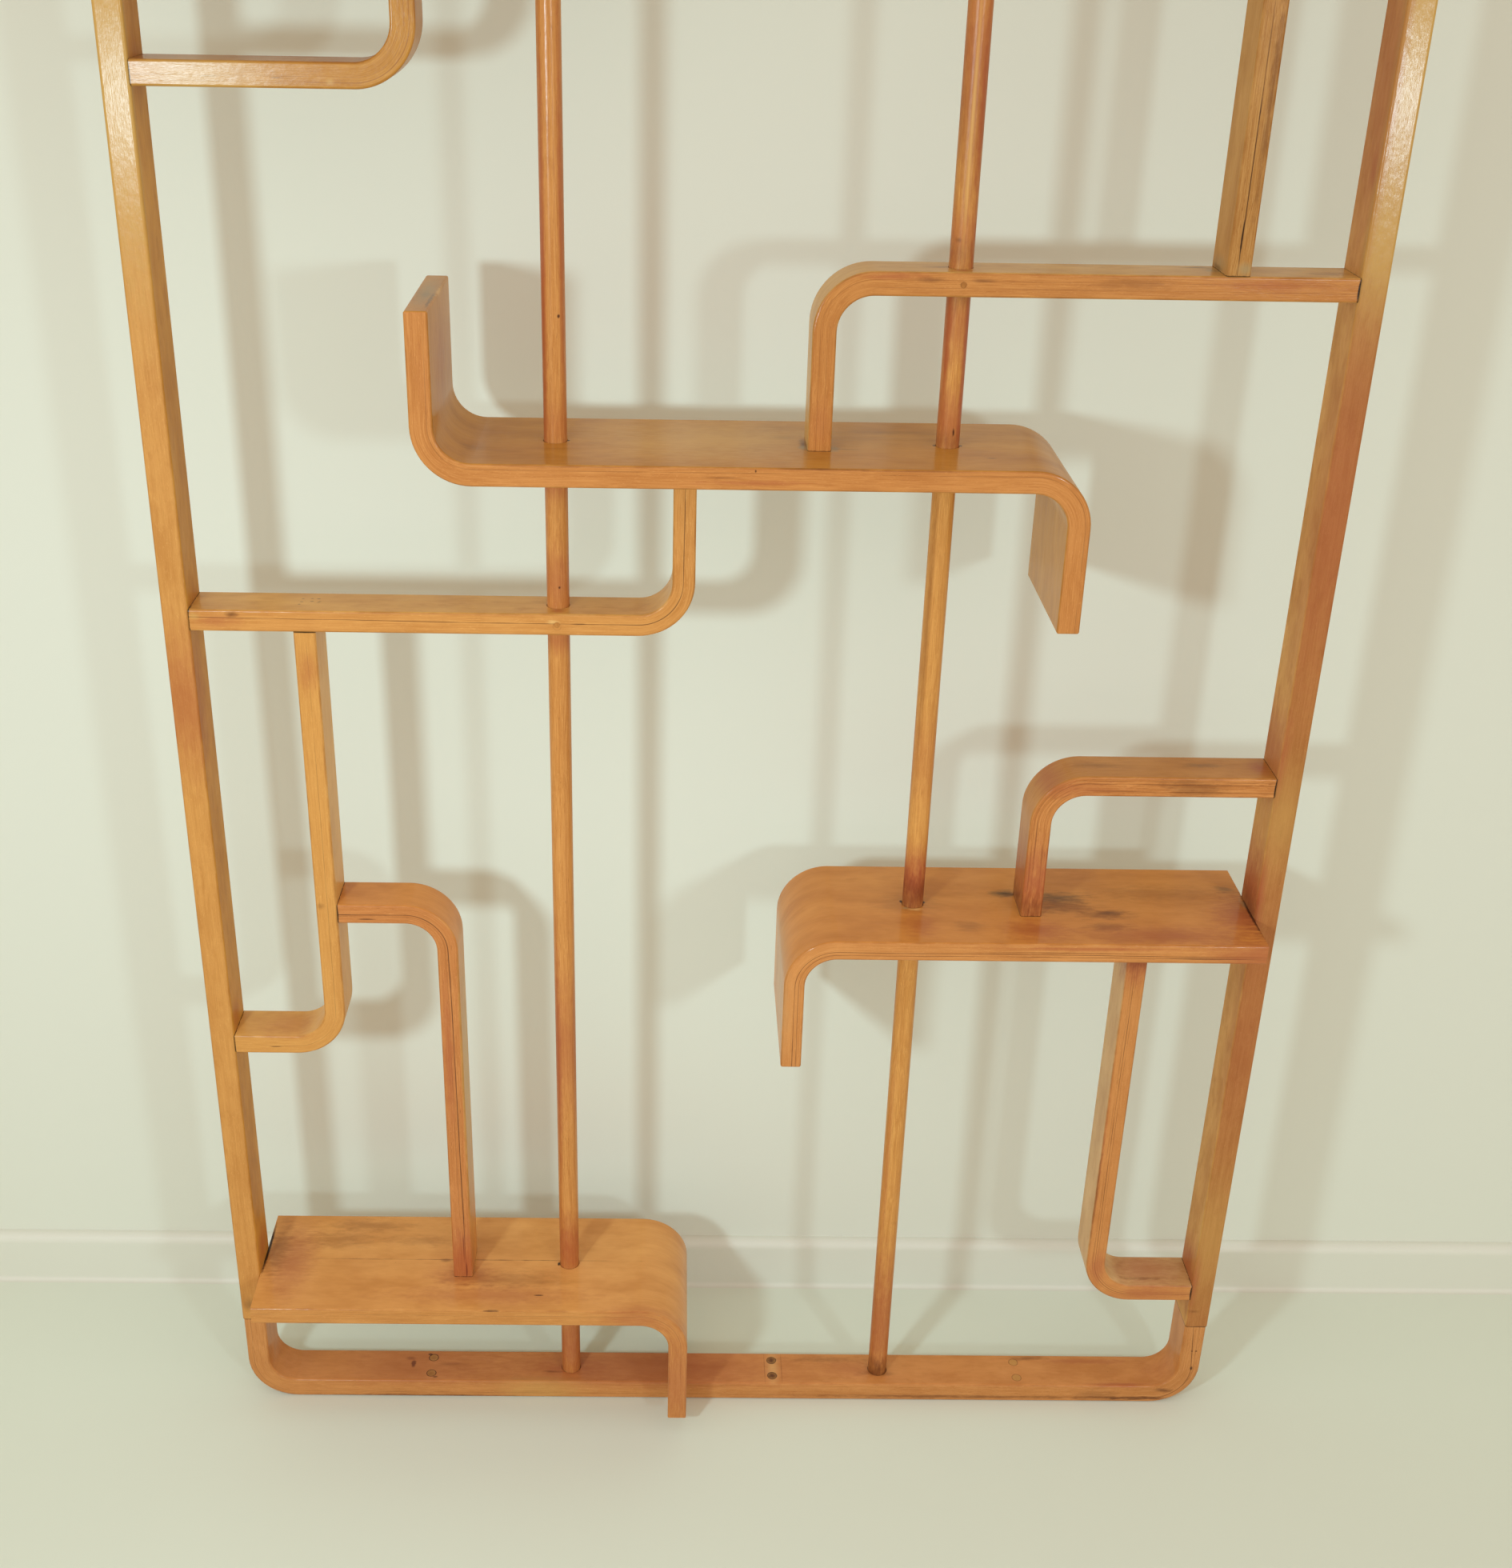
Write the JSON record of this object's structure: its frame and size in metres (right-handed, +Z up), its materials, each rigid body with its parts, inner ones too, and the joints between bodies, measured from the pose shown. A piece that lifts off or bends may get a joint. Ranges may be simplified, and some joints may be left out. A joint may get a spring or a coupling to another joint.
{
  "type": "room divider",
  "caption": "Tall open room divider of bent beech: a rounded frame with full-height rods, bent shelves at several levels and narrow bent strips that join them.",
  "frame": {"origin": "on the floor under the middle of the bottom rail", "axes": "+X to the right seen from the front, +Y to the back, +Z up"},
  "size_m": [1.03, 0.15, 2.1],
  "materials": {
    "bent_rail_beech": "bent laminated beech, amber satin-gloss lacquer",
    "post_beech": "straight planed beech, amber satin-gloss lacquer",
    "rod_beech": "turned beech rod, amber satin-gloss lacquer",
    "shelf_beech": "bent beech ply, amber satin-gloss lacquer",
    "bent_strip_beech": "bent laminated beech, amber satin-gloss lacquer",
    "plug_beech": "end-grain beech plug, lacquered",
    "dowel_beech": "bare beech"
  },
  "bodies": {
    "root": {"bottom_rail": "bent_rail_beech", "top_rail": "bent_rail_beech", "bottom_rail_plugs": "plug_beech", "top_rail_plugs": "plug_beech", "left_post": "post_beech", "right_post": "post_beech", "left_rod": "rod_beech", "right_rod": "rod_beech", "centre_shelf": "shelf_beech", "lower_right_shelf": "shelf_beech", "upper_left_shelf": "shelf_beech", "lower_left_shelf": "shelf_beech", "upper_right_shelf": "shelf_beech", "left_long_strip": "bent_strip_beech", "right_long_strip": "bent_strip_beech", "lower_left_hanger": "bent_strip_beech", "upper_right_hanger": "bent_strip_beech", "lower_left_link": "bent_strip_beech", "upper_right_link": "bent_strip_beech", "lower_right_arm": "bent_strip_beech", "upper_left_arm": "bent_strip_beech", "lower_right_brace": "bent_strip_beech", "upper_left_brace": "bent_strip_beech", "post_dowels": "dowel_beech", "shelf_dowels": "dowel_beech", "strip_to_post_dowels": "dowel_beech", "strip_to_shelf_dowels": "dowel_beech", "strip_to_strip_dowels": "dowel_beech", "rod_pins": "dowel_beech"}
  },
  "joints": []
}
